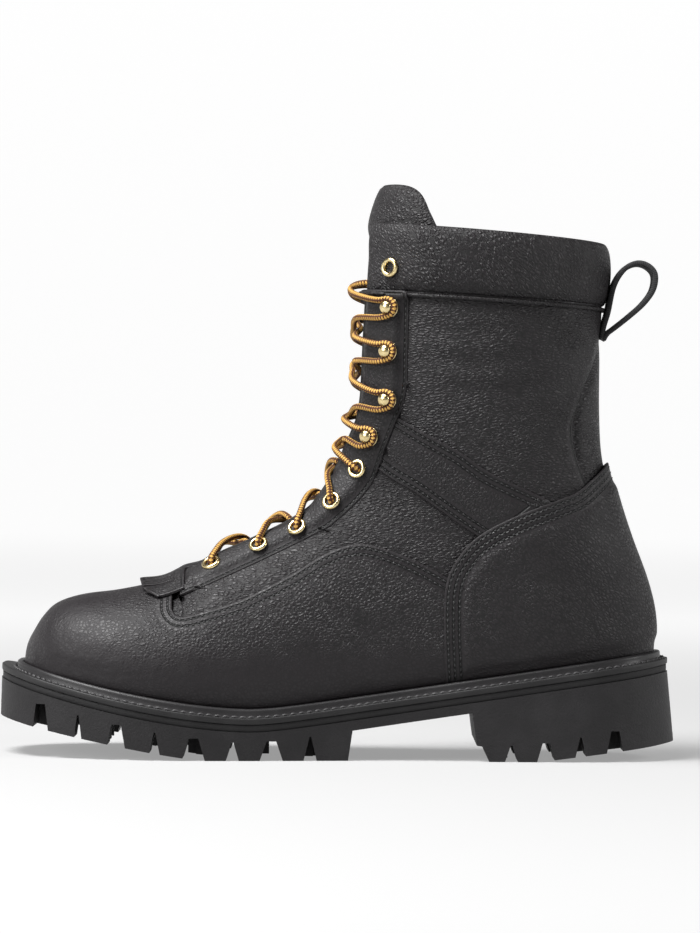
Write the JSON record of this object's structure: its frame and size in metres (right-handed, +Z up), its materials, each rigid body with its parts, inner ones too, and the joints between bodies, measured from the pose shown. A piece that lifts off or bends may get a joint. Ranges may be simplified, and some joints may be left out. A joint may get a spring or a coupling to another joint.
{
  "type": "work boot",
  "caption": "Black pebbled leather lace-up work boot, left foot, with padded collar, brass eyelets and hooks, rolled welt and lugged rubber sole.",
  "frame": {"origin": "on the floor, under the middle of the boot's bounding box", "axes": "+Z up, toe towards -X, heel towards +X, outer side of the foot towards -Y"},
  "size_m": [0.3158, 0.1168, 0.2658],
  "materials": {
    "leather": "black pebbled leather",
    "smooth_leather": "black leather with a finer grain",
    "lining": "matte black leather lining",
    "rubber": "matte black rubber",
    "welt": "black welt with a rolled edge",
    "strap": "black smooth leather strip",
    "brass": "pale polished brass",
    "lace": "round woven lace, gold with a dark brown zigzag"
  },
  "bodies": {
    "root": {"upper": "leather", "heel_counter": "smooth_leather", "ankle_strap_outer": "leather", "eyestay_outer": "smooth_leather", "ankle_strap_inner": "leather", "eyestay_inner": "smooth_leather", "collar": "leather", "tongue": "leather", "kiltie": "leather", "pull_loop": "strap", "welt": "welt", "midsole": "rubber", "outsole": "rubber", "insole": "lining", "laces": "lace", "eyelet_outer_01": "brass", "eyelet_inner_01": "brass", "eyelet_outer_02": "brass", "eyelet_inner_02": "brass", "eyelet_outer_03": "brass", "eyelet_inner_03": "brass", "eyelet_outer_04": "brass", "eyelet_inner_04": "brass", "eyelet_outer_05": "brass", "eyelet_inner_05": "brass", "hook_outer_06": "brass", "hook_inner_06": "brass", "hook_outer_07": "brass", "hook_inner_07": "brass", "hook_outer_08": "brass", "hook_inner_08": "brass", "hook_outer_09": "brass", "hook_inner_09": "brass", "eyelet_outer_10": "brass", "eyelet_inner_10": "brass"}
  },
  "joints": []
}
